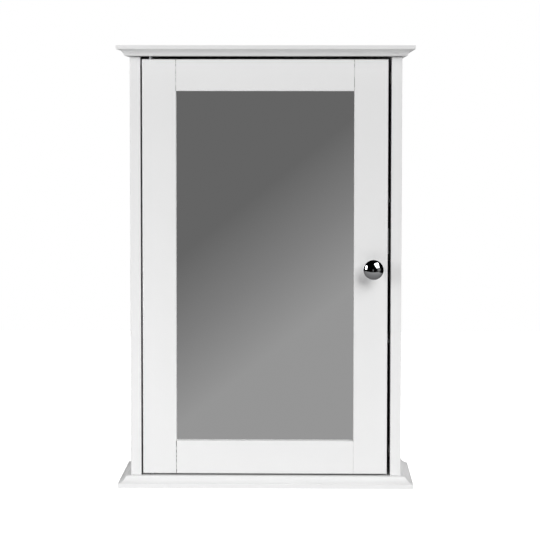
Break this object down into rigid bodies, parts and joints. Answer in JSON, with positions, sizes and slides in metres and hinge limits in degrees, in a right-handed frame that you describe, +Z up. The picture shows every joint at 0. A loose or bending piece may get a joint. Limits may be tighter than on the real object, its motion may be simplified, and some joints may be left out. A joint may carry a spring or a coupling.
{
  "type": "medicine cabinet",
  "caption": "White wall cabinet with moulded top and base boards, a framed mirror door on pivot pins, a domed knob and shelves inside.",
  "frame": {"origin": "centre of the base board's underside", "axes": "+X to the right seen from the front, +Y back to the wall, +Z up"},
  "size_m": [0.34, 0.1552, 0.507],
  "materials": {
    "painted_board": "satin white paint over medium-density fibreboard",
    "shelf_board": "white melamine-faced board",
    "white_hardboard": "thin hardboard, white lacquered towards the inside",
    "brown_hardboard": "bare hardboard",
    "beech": "ribbed beech dowel",
    "mirror_glass": "silvered float glass",
    "polished_chrome": "polished dark chrome plate",
    "bright_steel": "ground bright steel",
    "plated_steel": "bright zinc plate",
    "zinc_alloy": "die-cast zinc",
    "white_plastic": "moulded white plastic",
    "black_plastic": "moulded black plastic",
    "ferrite": "dark sintered magnet"
  },
  "bodies": {
    "case": {"back_panel": "white_hardboard", "back_panel_nails": "plated_steel", "base_board": "painted_board", "bottom_hinge_bush": "white_plastic", "cam_bolts": "plated_steel", "cam_covers": "white_plastic", "cam_locks": "zinc_alloy", "case_dowels": "beech", "catch_body": "black_plastic", "catch_magnet": "ferrite", "catch_pole_plates": "plated_steel", "catch_screws": "plated_steel", "hanging_rail": "painted_board", "left_side_panel": "painted_board", "lower_shelf": "shelf_board", "right_side_panel": "painted_board", "shelf_pegs": "plated_steel", "top_board": "painted_board", "top_hinge_bush": "white_plastic", "upper_shelf": "shelf_board"},
    "door": {"left_stile": "painted_board", "right_stile": "painted_board", "top_rail": "painted_board", "bottom_rail": "painted_board", "frame_dowels": "beech", "mirror_glass": "mirror_glass", "mirror_backing": "brown_hardboard", "backing_screws": "plated_steel", "knob": "polished_chrome", "knob_screw": "plated_steel", "top_hinge_pin": "bright_steel", "bottom_hinge_pin": "bright_steel", "strike_plate": "plated_steel", "strike_screw": "plated_steel"}
  },
  "joints": [
    {"name": "door_hinge", "type": "hinge", "parent": "case", "child": "door", "pos_m": [-0.1315, -0.0545, 0.0149], "axis": [0, 0, -1], "range_deg": [0, 120]}
  ]
}
